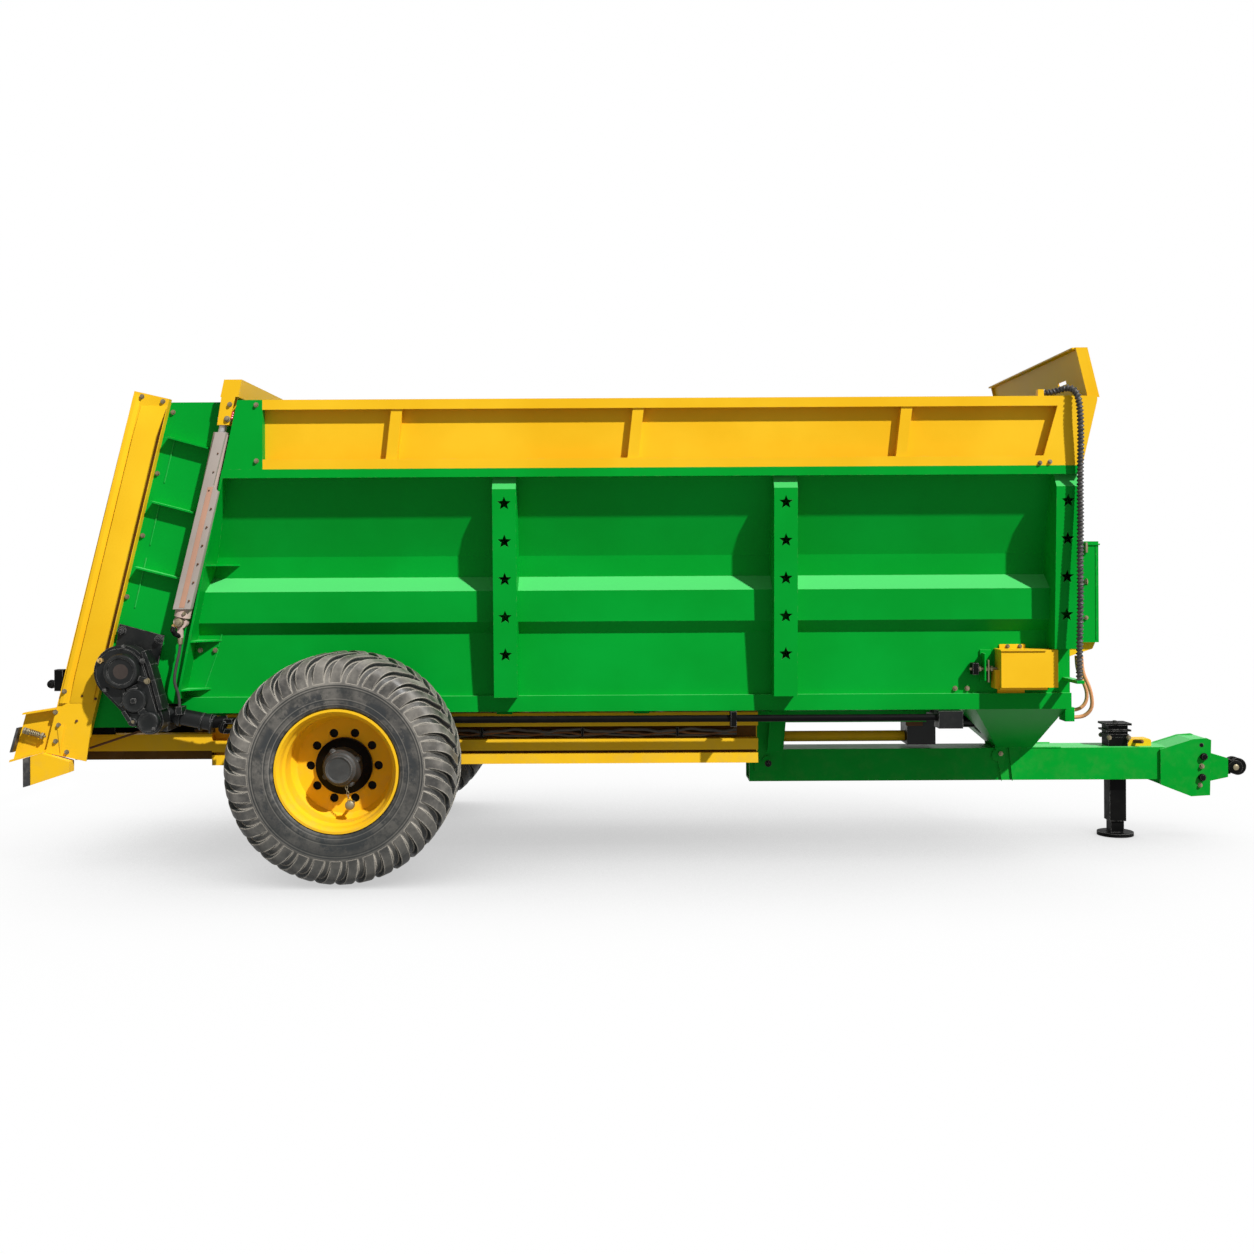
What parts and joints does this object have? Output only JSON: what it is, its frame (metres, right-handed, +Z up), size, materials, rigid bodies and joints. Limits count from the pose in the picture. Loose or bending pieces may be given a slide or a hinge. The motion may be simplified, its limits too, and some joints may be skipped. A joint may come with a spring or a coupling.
{
  "type": "manure spreader",
  "caption": "Towed manure spreader: ribbed hopper body with slat floor, lifting rear door, lying beaters and spinning discs, on big tyres with a drawbar and parking jack.",
  "frame": {"origin": "on the ground, under the middle of the whole machine", "axes": "+X forwards towards the drawbar, +Y to the left, +Z up"},
  "size_m": [6.6602, 2.48, 2.65],
  "materials": {
    "green_paint": "gloss green enamel",
    "yellow_paint": "gloss yellow enamel",
    "gearbox_paint": "charcoal paint on cast iron",
    "black_paint": "black paint",
    "bare_steel": "bare steel",
    "primer": "matt pinkish grey primer",
    "tyre_rubber": "dusty black rubber",
    "hose_black": "black hose in a spiral wrap",
    "hose_tan": "tan hose",
    "lamp_plastic": "black plastic"
  },
  "bodies": {
    "root": {"body_side_right": "green_paint", "body_side_left": "green_paint", "side_posts": "green_paint", "body_front": "green_paint", "body_floor": "bare_steel", "floor_chain": "bare_steel", "floor_shafts": "bare_steel", "body_bearers": "green_paint", "chassis": "yellow_paint", "axle": "black_paint", "drawbar": "green_paint", "drawbar_hanger": "green_paint", "drawbar_support": "green_paint", "hitch_head": "green_paint", "tow_fork": "black_paint", "jack_tube": "black_paint", "top_boards": "yellow_paint", "front_visor": "yellow_paint", "rear_panels": "green_paint", "rear_frame": "yellow_paint", "rear_deflector": "yellow_paint", "door_cylinders": "primer", "spinner_beam": "black_paint", "side_gearbox": "gearbox_paint", "drive_shaft": "black_paint", "shaft_bearing": "black_paint", "front_gearbox": "gearbox_paint", "spinner_shaft": "yellow_paint", "chain_cover": "yellow_paint", "front_box": "green_paint", "hose_brackets": "yellow_paint", "rear_lamps": "lamp_plastic", "hose_bundle": "hose_black", "hose_loop_outer": "hose_tan", "hose_loop_inner": "hose_tan", "cylinder_hose": "hose_black", "closing_plates": "green_paint", "cylinder_guards": "primer", "jack_lever": "yellow_paint"},
    "wheel_right": {"wheel_right_tyre": "tyre_rubber", "wheel_right_rim": "yellow_paint", "wheel_right_hub": "black_paint"},
    "wheel_left": {"wheel_left_tyre": "tyre_rubber", "wheel_left_rim": "yellow_paint", "wheel_left_hub": "black_paint"},
    "door": {"rear_door": "green_paint", "door_beam": "yellow_paint", "door_rods": "bare_steel"},
    "beater_lower": {"beater_lower": "yellow_paint"},
    "beater_upper": {"beater_upper": "yellow_paint"},
    "spinner_right": {"spinner_right": "black_paint"},
    "spinner_left": {"spinner_left": "black_paint"},
    "jack": {"jack_leg": "black_paint"}
  },
  "joints": [
    {"name": "wheel_right_spin", "type": "hinge", "parent": "root", "child": "wheel_right", "pos_m": [-1.58, -1, 0.565], "axis": [0, 1, 0], "continuous": true},
    {"name": "wheel_left_spin", "type": "hinge", "parent": "root", "child": "wheel_left", "pos_m": [-1.58, 1, 0.565], "axis": [0, 1, 0], "continuous": true},
    {"name": "rear_door_lift", "type": "slide", "parent": "root", "child": "door", "axis": [0.2147, 0, 0.9767], "range_m": [0, 0.85]},
    {"name": "beater_lower_spin", "type": "hinge", "parent": "root", "child": "beater_lower", "pos_m": [-2.722, 0, 1.025], "axis": [0, 1, 0], "continuous": true},
    {"name": "beater_upper_spin", "type": "hinge", "parent": "root", "child": "beater_upper", "pos_m": [-2.61463, 0, 1.51334], "axis": [0, 1, 0], "continuous": true},
    {"name": "spinner_right_spin", "type": "hinge", "parent": "root", "child": "spinner_right", "pos_m": [-2.8, -0.262, 0.6], "axis": [0, 0, 1], "continuous": true},
    {"name": "spinner_left_spin", "type": "hinge", "parent": "root", "child": "spinner_left", "pos_m": [-2.8, 0.262, 0.6], "axis": [0, 0, 1], "continuous": true},
    {"name": "jack_leg_slide", "type": "slide", "parent": "root", "child": "jack", "axis": [0, 0, 1], "range_m": [0, 0.24]}
  ]
}
